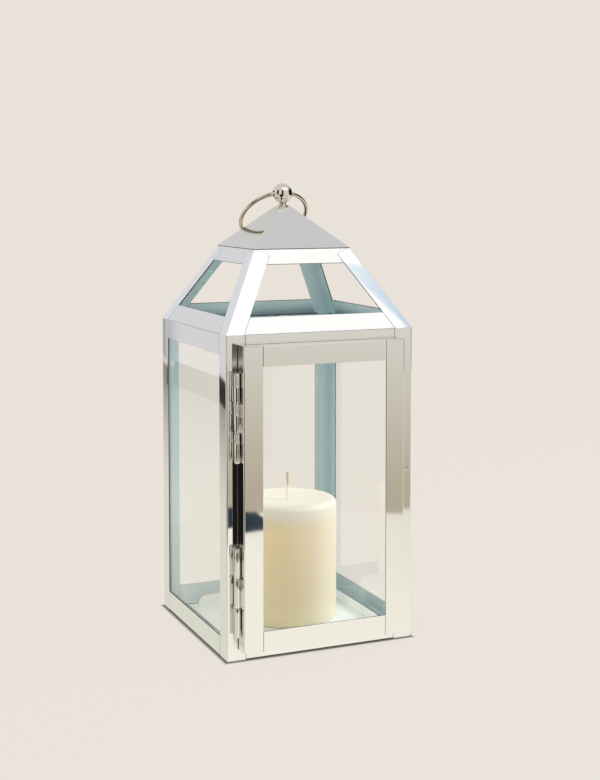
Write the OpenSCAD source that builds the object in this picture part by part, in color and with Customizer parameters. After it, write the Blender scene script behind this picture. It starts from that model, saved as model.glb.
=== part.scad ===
// Square candle lantern: open-windowed hipped roof on a glazed sheet-metal cage,
// hinged glass door at the front, pull ring through the ball finial, pillar candle inside.
// Millimetres. Origin: centre of the base, on the ground plane. Front (door) faces -Y, +Z up.

/* [Body] */
// Outer side of the square body
body_w = 190; // [120:1:320]
// Height of the body from the ground to the eave
body_h = 302; // [180:1:500]
// Visible width of each corner post flange
flange_w = 18.5; // [10:0.5:23]
// Height of the top and bottom rails
rail_h = 19; // [10:0.5:30]
// Thickness of the sheet metal
sheet_t = 1.2; // [0.8:0.1:2.5]
// Depth of the turned-in lip on each rail
lip_w = 10; // [6:0.5:16]
// Thickness of the base plate, which holds the rails this far off the ground
plate_t = 1; // [0.6:0.1:3]

/* [Roof] */
// Height of the sloped, open-windowed part
roof_h = 76; // [40:1:140]
// Side of the square where the slope breaks to the cap
roof_top_w = 99; // [60:1:150]
// Width of each hip strip flange, along the eave
hip_w = 17.5; // [10:0.5:26]
// Width of the lower sloped band
band_low_w = 17.4; // [8:0.2:26]
// Width of the upper sloped band
band_up_w = 16.6; // [8:0.2:26]
// Overhang of the cap past the sloped part
cap_over = 1; // [0:0.1:4]
// Height of the cap up to its small flat top
cap_h = 40.5; // [20:0.5:80]
// Side of the small flat on top of the cap
cap_flat = 10; // [8:0.5:20]

/* [Finial and ring] */
// Diameter of the ball
ball_d = 20; // [14:0.5:32]
// Height of the neck between the cap's flat top and the ball
neck_h = 1.8; // [1.5:0.1:6]
// Mean radius of the pull ring
ring_r = 34; // [26:0.5:50]
// Wire diameter of the pull ring
wire_d = 4; // [2.5:0.1:6]
// Diameter of the stud under the finial
stud_d = 4; // [3:0.1:6]

/* [Door] */
// Left edge of the door, inward from the body's left side
door_left = 11; // [9:0.5:20]
// Right edge of the door, inward from the body's right side
door_right = 16; // [4:0.5:24]
// Bottom edge of the door above the ground
door_bottom = 11; // [4:0.5:16]
// Top edge of the door below the eave
door_top = 9; // [4:0.5:16]
// Width of the door's face frame
frame_w = 19; // [12:0.5:30]
// How far the door stands proud of the body
door_proud = 15.5; // [10:0.5:24]
// Gap between the door's back and the body
door_gap = 1.3; // [1.2:0.1:3]

/* [Hinges and catch] */
// Length of each hinge
hinge_len = 82; // [40:1:120]
// Centre of the lower hinge above the ground
hinge_low = 66; // [50:1:120]
// Centre of the upper hinge below the eave
hinge_up = 75; // [50:1:120]
// Outside diameter of the hinge knuckles
knuckle_d = 5.5; // [4.5:0.1:9]
// Diameter of the hinge pins
pin_d = 2.4; // [1.6:0.1:4]
// Thickness of the hinge leaves
leaf_t = 0.8; // [0.5:0.1:1]
// How far the hinge pins stand in front of the body
hinge_out = 6.8; // [5.5:0.1:10]
// Height of the magnetic catch above the ground
catch_z = 166; // [60:1:260]

/* [Glass] */
// Thickness of the panes
glass_t = 2; // [1.5:0.1:4]

/* [Base] */
// Distance of the upturned flaps in from the body's outside
flap_in = 14; // [13:0.5:24]
// Height of the upturned flaps above the plate
flap_h = 10; // [5:0.5:15]
// Length of each flap
flap_len = 122; // [60:1:150]

/* [Candle] */
// Diameter of the candle
candle_d = 100; // [40:1:110]
// Height of the candle
candle_h = 120; // [50:1:170]
// Length of wick above the candle
wick_h = 26; // [6:0.5:32]
// Candle's place on the plate, to the right of the middle
candle_x = 12; // [-16:0.5:16]
// Candle's place on the plate, behind the middle
candle_y = 18; // [-16:0.5:20]

/* [Clearances] */
// Radial running clearance of pins and shanks
run_c = 0.05; // [0.02:0.01:0.1]
// Space between moving bodies that do not fit each other
free_c = 0.35; // [0.3:0.05:1]
// Space left round each glass pane and the base plate
seat_c = 0.8; // [0.3:0.1:2]

/* [Hidden] */
hw = body_w / 2;
inner = hw - sheet_t;                 // inner face of the posts and rails
span = body_w - 2 * flange_w;         // clear width between posts
base_z = plate_t + sheet_t;           // top of the bottom lips
rt = roof_top_w / 2;
run = hw - rt;                        // horizontal run of the roof slope
slope_l = sqrt(run * run + roof_h * roof_h);
slope_a = atan2(roof_h, run);
hip_a = atan2(run, slope_l);          // angle of the hip within the face
hip_p = hip_w * cos(hip_a);           // width of the strip square to the hip
roof_z = body_h + roof_h;
ch = rt + cap_over;                   // half side of the cap
cf = cap_flat / 2;
cap_l = sqrt(pow(ch - cf, 2) + cap_h * cap_h);
cap_a = atan2(cap_h, ch - cf);
cap_z = roof_z + cap_h;
ball_r = ball_d / 2;
ball_up = ball_r + neck_h;
ball_z = cap_z + ball_up;
wire_r = wire_d / 2;
sag = ring_r - sqrt(ring_r * ring_r - ball_r * ball_r);
eye_r = wire_r + sag / 2 + free_c;    // radius of the hole through the ball
ring_off = ring_r - sag / 2;          // ring centre to the swing axis
// distance of the swing axis from the cap's back face, and the tilt at which the ring rests
axis_gap = ball_up * cos(cap_a) - cf * sin(cap_a);
ring_tilt = cap_a + asin((axis_gap - wire_r - free_c) / (ring_off + ring_r));
dx0 = -hw + door_left;
dx1 = hw - door_right;
dz0 = door_bottom;
dz1 = body_h - door_top;
dfy = -hw - door_proud;               // front face of the door
dby = -hw - door_gap;                 // back edges of the door
knr = knuckle_d / 2;
hx = dx0 - knr - free_c;              // hinge axis
hy = -hw - hinge_out;
knuckles = 3;
kn_l = hinge_len / knuckles;
kn_gap = 0.3;
pane_in = inner - glass_t;            // inner face of the body panes
pane_half = span / 2 + 4;
pane_top = body_h - rail_h + 5;
tab_w = 10;
eps = 0.01;

// ---- cage ----

// Corner post: an angle of sheet standing on the ground, for the corner at (-X, -Y)
module post() {
    color([0.80, 0.80, 0.80])
    difference() {
        translate([-hw, -hw, 0]) cube([flange_w, flange_w, body_h]);
        translate([-inner, -inner, -1]) cube([flange_w, flange_w, body_h + 2]);
    }
}

module post_front_right() {
    color([0.80, 0.80, 0.80])
    difference() {
        mirror([1, 0, 0]) post();
        translate([rivet_x, -hw - 1, catch_z]) rotate([-90, 0, 0])
            cylinder(r = rivet_r + run_c, h = sheet_t + 2, $fn = 40);
    }
}

// Rail between two posts on the front side: upright face and turned-in lip
module top_rail() {
    color([0.80, 0.80, 0.78]) {
        translate([-span / 2, -hw, body_h - rail_h]) cube([span, sheet_t, rail_h]);
        translate([-span / 2, -hw, body_h - sheet_t]) cube([span, lip_w, sheet_t]);
    }
}

module bottom_rail() {
    color([0.80, 0.80, 0.78]) {
        translate([-span / 2, -hw, plate_t]) cube([span, sheet_t, rail_h]);
        translate([-span / 2, -hw, plate_t]) cube([span, lip_w, sheet_t]);
    }
}

// ---- roof ----

// Flat sheet in the slope of the front face: x along the eave, y up the slope
module on_slope(a, half, z0) {
    translate([0, -half, z0]) rotate([a, 0, 0]) translate([0, 0, -sheet_t])
        linear_extrude(sheet_t) children();
}

function hip_x(s) = hw - run * s / slope_l;   // half width of a roof face at slope s

// The hip strips' tops are cut square across; the upper bands fill in beside the cut
cut_s = slope_l - hip_p * sin(hip_a);
cut_x = hip_x(slope_l) - hip_p * cos(hip_a);
notch = 2 * sheet_t;                  // keeps neighbouring upper bands apart at the hip
function band_side(s0, s1) = s1 < cut_s
    ? [[hip_x(s0 - 2) - hip_w, s0 - 2], [hip_x(s1 + 2) - hip_w, s1 + 2]]
    : [[hip_x(s0 - 2) - hip_w, s0 - 2], [cut_x, cut_s],
       [hip_x(slope_l) - notch, slope_l - notch * tan(hip_a)],
       [hip_x(slope_l) - notch, slope_l + 2]];

// Band between the hip strips from slope s0 to s1
module band(s0, s1) {
    side = band_side(s0, s1);
    n = len(side);
    color([0.80, 0.80, 0.80])
    intersection() {
        on_slope(slope_a, hw, body_h) polygon(concat(side,
            [for (i = [n - 1 : -1 : 0]) [-side[i][0], side[i][1]]]));
        translate([-body_w, 0, 0]) rotate([90, 0, 90]) linear_extrude(2 * body_w)
            polygon(band_section(s0, s1));
    }
}

// Side view of a band: its two ends are level where they meet the rail and the cap
function sx(s) = -hw + run * s / slope_l;
function sz(s) = body_h + roof_h * s / slope_l;
function band_section(s0, s1) =
    let (f = sheet_t / sin(slope_a))
    [[sx(s0) - eps, sz(s0)], [sx(s0) + f + eps, sz(s0)],
     [sx(s1) + f + eps, sz(s1)], [sx(s1) - eps, sz(s1)]];

// One flange of a hip strip, on the front face at its left end, mitred on the hip
module hip_flange() {
    out = 4;
    intersection() {
        on_slope(slope_a, hw, body_h) polygon([
            [-hip_x(-2) - out, -2], [-hip_x(-2) + hip_w, -2], [-cut_x, cut_s],
            [-hip_x(slope_l) - out * cos(hip_a), slope_l + out * sin(hip_a)]]);
        translate([0, 0, body_h]) linear_extrude(roof_h)
            polygon([[-hw - 9, -hw - 9], [hw, hw], [hw, -hw - 9]]);
    }
}

module hip() {
    color([0.92, 0.94, 0.97]) {
        hip_flange();
        mirror([1, -1, 0]) hip_flange();
    }
}

// Truncated pyramid of sheet with a drilled flat top
module cap() {
    color([0.79, 0.79, 0.80])
    difference() {
        union() {
            intersection() {
                for (r = [0 : 3]) rotate([0, 0, 90 * r]) on_slope(cap_a, ch, roof_z)
                    polygon([[-ch - 2 * (ch - cf) / cap_l, -2], [ch + 2 * (ch - cf) / cap_l, -2],
                        [cf, cap_l], [-cf, cap_l]]);
                translate([-ch, -ch, roof_z]) cube([2 * ch, 2 * ch, cap_h]);
            }
            translate([-cf, -cf, cap_z - sheet_t]) cube([cap_flat, cap_flat, sheet_t]);
        }
        translate([0, 0, cap_z - 5]) cylinder(r = stud_d / 2 + run_c, h = 10, $fn = 48);
    }
}

// Ball on a collared neck, with a stud below and the ring's eye across it
module finial() {
    color([0.82, 0.80, 0.76])
    difference() {
        union() {
            translate([0, 0, ball_z]) sphere(d = ball_d, $fn = 96);
            translate([0, 0, cap_z + 1.4])
                cylinder(d = 6.8, h = ball_up - 1.4, $fn = 64);
            translate([0, 0, cap_z]) cylinder(d = 8.6, h = 1.4, $fn = 64);
            translate([0, 0, cap_z - stud_l]) cylinder(d = stud_d, h = stud_l + 1, $fn = 48);
        }
        translate([-ball_d, 0, ball_z]) rotate([0, 90, 0])
            cylinder(r = eye_r, h = 2 * ball_d, $fn = 64);
    }
}
stud_l = sheet_t + 4.5;

module finial_nut() {
    color([0.70, 0.70, 0.70])
    difference() {
        translate([0, 0, cap_z - sheet_t - 3]) cylinder(d = cap_flat - 2.6, h = 3, $fn = 6);
        translate([0, 0, cap_z - sheet_t - 4]) cylinder(r = stud_d / 2 + run_c, h = 5, $fn = 48);
    }
}

// Ring of round wire through the ball's eye, lying back on the cap
module pull_ring() {
    color([0.78, 0.74, 0.68])
    translate([0, 0, ball_z]) rotate([-ring_tilt, 0, 0]) translate([0, ring_off, 0])
        rotate_extrude($fn = 128) translate([ring_r, 0]) circle(r = wire_r, $fn = 32);
}

// ---- base and glass ----

module base_flap() {
    translate([-flap_len / 2, hw - flap_in, 0]) rotate([90, 0, 0]) linear_extrude(sheet_t)
        union() {
            square([flap_len, plate_t + 0.5]);
            translate([flap_h - 1, 0]) square([flap_len - 2 * (flap_h - 1), flap_h + plate_t]);
            intersection() {
                union() {
                    translate([flap_h - 1, plate_t]) circle(r = flap_h, $fn = 64);
                    translate([flap_len - flap_h + 1, plate_t]) circle(r = flap_h, $fn = 64);
                }
                translate([0, plate_t - 0.5]) square([flap_len, flap_h + 0.5]);
            }
        }
}

module base_plate() {
    color([0.72, 0.76, 0.76]) {
        translate([-inner + seat_c, -inner + seat_c, 0])
            cube([2 * (inner - seat_c), 2 * (inner - seat_c), plate_t]);
        for (r = [0, 90, -90]) rotate([0, 0, r]) base_flap();
    }
}

// Pane standing on the back rail's lip, seen as the back one
module pane() {
    color([0.86, 0.92, 0.90, 0.35])
    translate([-pane_half, pane_in, base_z]) cube([2 * pane_half, glass_t, pane_top - base_z]);
}

// Two tabs under the back top rail's lip that hold the pane against the rail
module pane_clips() {
    color([0.82, 0.82, 0.82])
    for (m = [-1, 1]) translate([m * span / 4 - tab_w / 2, pane_in - 1, body_h - rail_h - 1])
        cube([tab_w, 1, rail_h + 1 - sheet_t]);
}

// ---- door ----

door_w = dx1 - dx0;
door_h = dz1 - dz0;
glass_y = dfy + sheet_t;

module door_stile_left() {
    color([0.76, 0.73, 0.66]) {
        translate([dx0, dfy, dz0]) cube([frame_w, sheet_t, door_h]);
        translate([dx0, dfy, dz0]) cube([sheet_t, dby - dfy, door_h]);
    }
}

module door_stile_right() {
    color([0.80, 0.77, 0.70]) {
        translate([dx1 - frame_w, dfy, dz0]) cube([frame_w, sheet_t, door_h]);
        translate([dx1 - sheet_t, dfy, dz0]) cube([sheet_t, dby - dfy, door_h]);
    }
}

module door_rail_top() {
    color([0.76, 0.74, 0.70]) {
        translate([dx0 + frame_w, dfy, dz1 - frame_w])
            cube([door_w - 2 * frame_w, sheet_t, frame_w]);
        translate([dx0 + sheet_t, glass_y, dz1 - sheet_t])
            cube([door_w - 2 * sheet_t, dby - glass_y, sheet_t]);
        translate([dx0 + frame_w, dfy, dz1 - sheet_t])
            cube([door_w - 2 * frame_w, dby - dfy, sheet_t]);
    }
}

module door_rail_bottom() {
    color([0.80, 0.77, 0.70]) {
        translate([dx0 + frame_w, dfy, dz0])
            cube([door_w - 2 * frame_w, sheet_t, frame_w]);
        translate([dx0 + sheet_t, glass_y, dz0])
            cube([door_w - 2 * sheet_t, dby - glass_y, sheet_t]);
        translate([dx0 + frame_w, dfy, dz0])
            cube([door_w - 2 * frame_w, dby - dfy, sheet_t]);
    }
}

module door_glass() {
    color([0.86, 0.92, 0.90, 0.35])
    translate([dx0 + sheet_t + seat_c, glass_y, dz0 + sheet_t])
        cube([door_w - 2 * sheet_t - 2 * seat_c, glass_t, door_h - 2 * sheet_t - seat_c]);
}

// Strip behind the glass along one stile
module door_retainer(x0, xl) {
    color([0.60, 0.62, 0.62])
    translate([x0, glass_y + glass_t, dz0 + frame_w]) cube([xl, 1, door_h - 2 * frame_w]);
}
ret_w = 9;

// Steel plate on the right stile's return that meets the magnet
strike_t = 1;
strike_w = 9.5;
strike_y = dby + 0.2 - strike_t;
module door_strike() {
    color([0.55, 0.55, 0.55])
    translate([dx1 - sheet_t - strike_w, strike_y - 2, catch_z - 8])
        cube([strike_w, strike_t, 16]);
}

// ---- hinges ----

module knuckle_set(first) {
    for (i = [first : 2 : knuckles - 1])
        translate([hx, hy, -hinge_len / 2 + i * kn_l + kn_gap / 2])
            cylinder(d = knuckle_d, h = kn_l - kn_gap, $fn = 48);
}

module web_set(first, size, off) {
    for (i = [first : 2 : knuckles - 1])
        translate([hx + off[0], hy + off[1], -hinge_len / 2 + i * kn_l + kn_gap / 2])
            cube([size[0], size[1], kn_l - kn_gap]);
}

module pin_bore() {
    translate([hx, hy, -hinge_len]) cylinder(r = pin_d / 2 + run_c, h = 2 * hinge_len, $fn = 48);
}

leaf_x = 10;
web_w = 1.6;
module frame_leaf(zc) {
    color([0.70, 0.70, 0.70])
    translate([0, 0, zc]) difference() {
        union() {
            translate([hx - web_w / 2, -hw - leaf_t, -hinge_len / 2])
                cube([leaf_x, leaf_t, hinge_len]);
            knuckle_set(0);
            web_set(0, [web_w, hinge_out - leaf_t / 2], [-web_w / 2, 0]);
        }
        pin_bore();
    }
}

leaf_back = 1;                        // leaf's back edge in front of the door's
leaf_front = 2;                       // leaf's front edge behind the door's face
module door_leaf(zc) {
    color([0.70, 0.70, 0.70])
    translate([0, 0, zc]) difference() {
        union() {
            translate([dx0 - leaf_t, dfy + leaf_front, -kn_l / 2 + kn_gap / 2])
                cube([leaf_t, dby - leaf_back - dfy - leaf_front, kn_l - kn_gap]);
            knuckle_set(1);
            web_set(1, [dx0 - hx - leaf_t / 2, web_w], [0, -web_w / 2]);
        }
        pin_bore();
    }
}

pin_head = 1;
module hinge_pin(zc) {
    color([0.62, 0.62, 0.62])
    translate([hx, hy, zc - hinge_len / 2 - 0.4]) {
        cylinder(d = pin_d, h = hinge_len + 0.4 - kn_gap / 2 + pin_head, $fn = 48);
        translate([0, 0, hinge_len + 0.4 - kn_gap / 2]) cylinder(d = knuckle_d - 1, h = pin_head, $fn = 48);
    }
}

// ---- magnetic catch ----

rivet_r = 1.5;
rivet_x = hw - 6.3;
// the magnet fits between the strike's inner end and the post's flange
mag_w = min(7, hw - flange_w - 1.2 - (dx1 - sheet_t - strike_w));
bracket_t = 1;
mag_front = strike_y - 2 + strike_t + 0.4;

module catch_bracket() {
    color([0.60, 0.60, 0.60])
    difference() {
        translate([dx1 - sheet_t - strike_w, -inner, catch_z - 7])
            cube([rivet_x + 4 - dx1 + sheet_t + strike_w, bracket_t, 14]);
        translate([rivet_x, -inner - 1, catch_z]) rotate([-90, 0, 0])
            cylinder(r = rivet_r + run_c, h = bracket_t + 2, $fn = 40);
    }
}

module catch_magnet() {
    color([0.30, 0.30, 0.32])
    translate([dx1 - sheet_t - strike_w, mag_front, catch_z - 7])
        cube([mag_w, -inner - mag_front, 14]);
}

module catch_rivet() {
    color([0.75, 0.75, 0.75]) {
        translate([rivet_x, -hw - 1, catch_z]) rotate([-90, 0, 0])
            cylinder(r = rivet_r, h = 1 + sheet_t + bracket_t + 0.5, $fn = 40);
        translate([rivet_x, -hw - 1, catch_z]) rotate([-90, 0, 0])
            cylinder(r = 2.4, h = 1, $fn = 40);
        translate([rivet_x, -inner + bracket_t, catch_z]) rotate([-90, 0, 0])
            cylinder(r = 2.4, h = 0.8, $fn = 40);
    }
}

// ---- candle ----

module candle() {
    color([0.90, 0.86, 0.72])
    translate([candle_x, candle_y, plate_t]) rotate_extrude($fn = 128) difference() {
        union() {
            square([candle_d / 2, candle_h - shoulder]);
            square([candle_d / 2 - shoulder, candle_h]);
            translate([candle_d / 2 - shoulder, candle_h - shoulder]) intersection() {
                circle(r = shoulder, $fn = 48);
                square(shoulder);
            }
        }
        translate([0, candle_h + dish_r - dish]) circle(r = dish_r, $fn = 180);
        translate([-candle_d, 0]) square([candle_d, candle_h * 3]);
    }
}
shoulder = 5;
dish = 2;
dish_r = (pow(candle_d / 2 - shoulder - 3, 2) + dish * dish) / (2 * dish);
wick_d = 2.2;

module wick() {
    color([0.80, 0.68, 0.48])
    translate([candle_x, candle_y, plate_t + candle_h - dish + eps / 2])
        cylinder(d = wick_d, h = wick_h + dish, $fn = 32);
}

post();  // post_front_left
post_front_right();
mirror([0, 1, 0]) post();  // post_back_left
rotate([0, 0, 180]) post();  // post_back_right
top_rail();  // top_rail_front
rotate([0, 0, 180]) top_rail();  // top_rail_back
rotate([0, 0, -90]) top_rail();  // top_rail_left
rotate([0, 0, 90]) top_rail();  // top_rail_right
bottom_rail();  // bottom_rail_front
rotate([0, 0, 180]) bottom_rail();  // bottom_rail_back
rotate([0, 0, -90]) bottom_rail();  // bottom_rail_left
rotate([0, 0, 90]) bottom_rail();  // bottom_rail_right
band(0, band_low_w);  // roof_band_low_front
rotate([0, 0, 180]) band(0, band_low_w);  // roof_band_low_back
rotate([0, 0, -90]) band(0, band_low_w);  // roof_band_low_left
rotate([0, 0, 90]) band(0, band_low_w);  // roof_band_low_right
band(slope_l - band_up_w, slope_l);  // roof_band_up_front
rotate([0, 0, 180]) band(slope_l - band_up_w, slope_l);  // roof_band_up_back
rotate([0, 0, -90]) band(slope_l - band_up_w, slope_l);  // roof_band_up_left
rotate([0, 0, 90]) band(slope_l - band_up_w, slope_l);  // roof_band_up_right
hip();  // hip_front_left
rotate([0, 0, 90]) hip();  // hip_front_right
rotate([0, 0, -90]) hip();  // hip_back_left
rotate([0, 0, 180]) hip();  // hip_back_right
cap();
finial();
finial_nut();
pull_ring();
base_plate();
pane();  // pane_back
rotate([0, 0, 90]) pane();  // pane_left
rotate([0, 0, -90]) pane();  // pane_right
pane_clips();  // pane_clips_back
rotate([0, 0, 90]) pane_clips();  // pane_clips_left
rotate([0, 0, -90]) pane_clips();  // pane_clips_right
door_stile_left();
door_stile_right();
door_rail_top();
door_rail_bottom();
door_glass();
door_retainer(dx0 + sheet_t, ret_w);  // door_retainer_left
door_retainer(dx1 - sheet_t - ret_w, ret_w);  // door_retainer_right
door_strike();
frame_leaf(body_h - hinge_up);  // hinge_up_frame_leaf
door_leaf(body_h - hinge_up);  // hinge_up_door_leaf
hinge_pin(body_h - hinge_up);  // hinge_up_pin
frame_leaf(hinge_low);  // hinge_low_frame_leaf
door_leaf(hinge_low);  // hinge_low_door_leaf
hinge_pin(hinge_low);  // hinge_low_pin
catch_bracket();
catch_magnet();
catch_rivet();
candle();
wick();
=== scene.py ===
import bpy, bmesh, math
from mathutils import Matrix, Vector


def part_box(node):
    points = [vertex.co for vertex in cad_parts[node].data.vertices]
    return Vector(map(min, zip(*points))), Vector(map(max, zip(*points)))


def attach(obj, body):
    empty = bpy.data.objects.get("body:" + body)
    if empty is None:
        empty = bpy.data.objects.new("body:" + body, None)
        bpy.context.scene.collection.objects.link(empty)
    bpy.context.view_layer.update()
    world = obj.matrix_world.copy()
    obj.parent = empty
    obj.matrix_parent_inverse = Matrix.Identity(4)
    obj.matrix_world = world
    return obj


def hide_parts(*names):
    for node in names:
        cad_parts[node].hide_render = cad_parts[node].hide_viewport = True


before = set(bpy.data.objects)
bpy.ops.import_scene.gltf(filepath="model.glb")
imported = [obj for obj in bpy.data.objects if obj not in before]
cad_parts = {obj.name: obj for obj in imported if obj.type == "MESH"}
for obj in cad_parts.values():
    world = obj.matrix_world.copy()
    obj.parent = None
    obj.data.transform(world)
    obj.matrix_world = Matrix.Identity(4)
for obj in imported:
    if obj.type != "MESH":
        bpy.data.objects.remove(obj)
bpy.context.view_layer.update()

# ---- Corner posts ----
# Four upright angles of 1.2 mm stainless sheet, folded once and mirror-polished on the
# outside only; the inside keeps the mill's dull blue-grey. They carry the whole cage.
sheet_t = 0.0012


def polished_steel(name, tint, rough, wave):
    """Mirror-polished stainless: faint polishing haze and the slight waviness of thin sheet."""
    m = bpy.data.materials.new(name)
    m.use_nodes = True
    n, l = m.node_tree.nodes, m.node_tree.links
    b = n["Principled BSDF"]
    b.inputs["Metallic"].default_value = 1.0
    b.inputs["IOR"].default_value = 2.2
    at = n.new("ShaderNodeTexCoord")
    haze = n.new("ShaderNodeTexNoise")
    haze.inputs["Scale"].default_value = 38.0
    haze.inputs["Detail"].default_value = 5.0
    l.new(at.outputs["Object"], haze.inputs["Vector"])
    to_rough = n.new("ShaderNodeMapRange")
    to_rough.inputs["From Min"].default_value = 0.35
    to_rough.inputs["From Max"].default_value = 0.75
    to_rough.inputs["To Min"].default_value = rough
    to_rough.inputs["To Max"].default_value = rough + 0.035
    l.new(haze.outputs["Fac"], to_rough.inputs["Value"])
    l.new(to_rough.outputs["Result"], b.inputs["Roughness"])
    wipe = n.new("ShaderNodeMix")
    wipe.data_type = "RGBA"
    wipe.inputs["A"].default_value = (*tint, 1)
    wipe.inputs["B"].default_value = (tint[0] * 0.965, tint[1] * 0.96, tint[2] * 0.945, 1)
    l.new(haze.outputs["Fac"], wipe.inputs["Factor"])
    l.new(wipe.outputs["Result"], b.inputs["Base Color"])
    swell = n.new("ShaderNodeTexNoise")
    swell.inputs["Scale"].default_value = 9.0
    swell.inputs["Detail"].default_value = 1.0
    l.new(at.outputs["Object"], swell.inputs["Vector"])
    bump = n.new("ShaderNodeBump")
    bump.inputs["Strength"].default_value = wave
    bump.inputs["Distance"].default_value = 0.001
    l.new(swell.outputs["Fac"], bump.inputs["Height"])
    l.new(bump.outputs["Normal"], b.inputs["Normal"])
    return m


def dull_steel(name, colour):
    """Unpolished inner side: a soft blue-grey mill finish with a fine rolled grain."""
    m = bpy.data.materials.new(name)
    m.use_nodes = True
    n, l = m.node_tree.nodes, m.node_tree.links
    b = n["Principled BSDF"]
    b.inputs["Metallic"].default_value = 0.35
    at = n.new("ShaderNodeTexCoord")
    run = n.new("ShaderNodeMapping")
    run.inputs["Scale"].default_value = (900, 900, 30)
    l.new(at.outputs["Object"], run.inputs["Vector"])
    grain = n.new("ShaderNodeTexNoise")
    grain.inputs["Scale"].default_value = 1.0
    grain.inputs["Detail"].default_value = 3.0
    l.new(run.outputs["Vector"], grain.inputs["Vector"])
    cloud = n.new("ShaderNodeTexNoise")
    cloud.inputs["Scale"].default_value = 22.0
    l.new(at.outputs["Object"], cloud.inputs["Vector"])
    tone = n.new("ShaderNodeMix")
    tone.data_type = "RGBA"
    tone.inputs["A"].default_value = (*[c * 0.9 for c in colour], 1)
    tone.inputs["B"].default_value = (*[min(1, c * 1.12) for c in colour], 1)
    l.new(cloud.outputs["Fac"], tone.inputs["Factor"])
    l.new(tone.outputs["Result"], b.inputs["Base Color"])
    rough = n.new("ShaderNodeMapRange")
    rough.inputs["To Min"].default_value = 0.36
    rough.inputs["To Max"].default_value = 0.55
    l.new(grain.outputs["Fac"], rough.inputs["Value"])
    l.new(rough.outputs["Result"], b.inputs["Roughness"])
    bump = n.new("ShaderNodeBump")
    bump.inputs["Strength"].default_value = 0.08
    bump.inputs["Distance"].default_value = 0.0003
    l.new(grain.outputs["Fac"], bump.inputs["Height"])
    l.new(bump.outputs["Normal"], b.inputs["Normal"])
    return m


outside = polished_steel("cage_polish", (0.84, 0.84, 0.83), 0.03, 0.10)
inside = dull_steel("cage_inside", (0.51, 0.68, 0.73))
# The sheets' cut rims take a near-black finish: a painted dark outline that stands in for the shade
# and dark reflections along the edges.
painted_dark_rim = dull_steel("cage_painted_dark_rim", (0.05, 0.05, 0.05))


def round_edges(bm, edges, width, steps):
    bmesh.ops.bevel(bm, geom=edges, offset=width, segments=steps, profile=0.5, affect="EDGES",
                    material=-1)


def folded_sheet(name, panels, node, body="frame", out=None, skins=None, thick=sheet_t,
                 edge=0.00025, fold=0.001):
    """Panels that share corners become one sheet with rounded folds.

    out points to its polished side; edge and fold are the radii of its rim and its folds.
    """
    bm = bmesh.new()
    for corners in panels:
        bm.faces.new([bm.verts.new(c) for c in corners])
    bmesh.ops.remove_doubles(bm, verts=bm.verts, dist=1e-6)
    bm.normal_update()
    for f in bm.faces:
        away = out(f.calc_center_median()) if out else f.calc_center_median() * Vector((1, 1, 0))
        if f.normal.dot(away) < 0:
            f.normal_flip()
    folds = [e for e in bm.edges if len(e.link_faces) == 2]
    if folds:
        round_edges(bm, folds, fold, 5)
    for f in bm.faces:
        f.smooth = True
    mesh = bpy.data.meshes.new(name)
    bm.to_mesh(mesh)
    bm.free()
    piece = bpy.data.objects.new(name, mesh)
    bpy.context.collection.objects.link(piece)
    for m in (*(skins or (outside, inside)), painted_dark_rim):
        mesh.materials.append(m)
    wall = piece.modifiers.new("wall", "SOLIDIFY")
    wall.thickness = thick
    wall.offset = -1
    wall.use_even_offset = True
    wall.use_quality_normals = True
    wall.material_offset = 1
    # The rims get the painted dark outline material.
    wall.material_offset_rim = 2
    rim = piece.modifiers.new("edge", "BEVEL")
    rim.width = edge
    rim.segments = 2
    rim.limit_method = "ANGLE"
    rim.angle_limit = math.radians(25)
    even = piece.modifiers.new("even", "WEIGHTED_NORMAL")
    even.mode = "FACE_AREA"
    even.weight = 100
    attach(piece, body)
    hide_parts(node)
    return piece


def turned(corners, quarter):
    turn = Matrix.Rotation(quarter * math.pi / 2, 3, "Z")
    return [turn @ Vector(c) for c in corners]


post_lo, post_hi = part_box("post_front_left")
half = -post_lo.x                     # half the body's side
body_h = post_hi.z
in_x = post_hi.x                      # where a post's flange ends
post_fold = 0.0014
for quarter, where in ((0, "front_left"), (1, "front_right"), (2, "back_right"), (3, "back_left")):
    front = [(-half, -half, 0), (in_x, -half, 0), (in_x, -half, body_h), (-half, -half, body_h)]
    side = [(-half, -half, 0), (-half, -half, body_h), (-half, in_x, body_h), (-half, in_x, 0)]
    folded_sheet("post_" + where + "_sheet", [turned(front, quarter), turned(side, quarter)],
                 "post_" + where, fold=post_fold)

# ---- Top and bottom rails ----
# Strips of the same sheet between the posts, each with one edge folded in as a lip: the top
# lips carry the roof, the bottom ones carry the glass and hold the base plate.
rail_lo, rail_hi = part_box("top_rail_front")
foot_lo, foot_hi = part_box("bottom_rail_front")
lip_y = rail_hi.y
rail_seam = 0.00035                   # a hair short of the posts: the seam shows dark
x = -in_x - rail_seam


def from_axis(c):
    return Vector((c.x, c.y, 0)).normalized()


for quarter, where in ((0, "front"), (1, "right"), (2, "back"), (3, "left")):
    for level, (z0, z1, lip_z) in (("top", (rail_lo.z, rail_hi.z, rail_hi.z)),
                                   ("bottom", (foot_lo.z, foot_hi.z, foot_lo.z))):
        upright = [(-x, -half, z0), (x, -half, z0), (x, -half, z1), (-x, -half, z1)]
        lip = [(-x, -half, lip_z), (x, -half, lip_z), (x, lip_y, lip_z), (-x, lip_y, lip_z)]
        node = level + "_rail_" + where
        sign = 1 if level == "top" else -1
        folded_sheet(node + "_sheet", [turned(upright, quarter), turned(lip, quarter)], node,
                     out=lambda c, s=sign: from_axis(c) * 0.1 + Vector((0, 0, s)))

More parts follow.
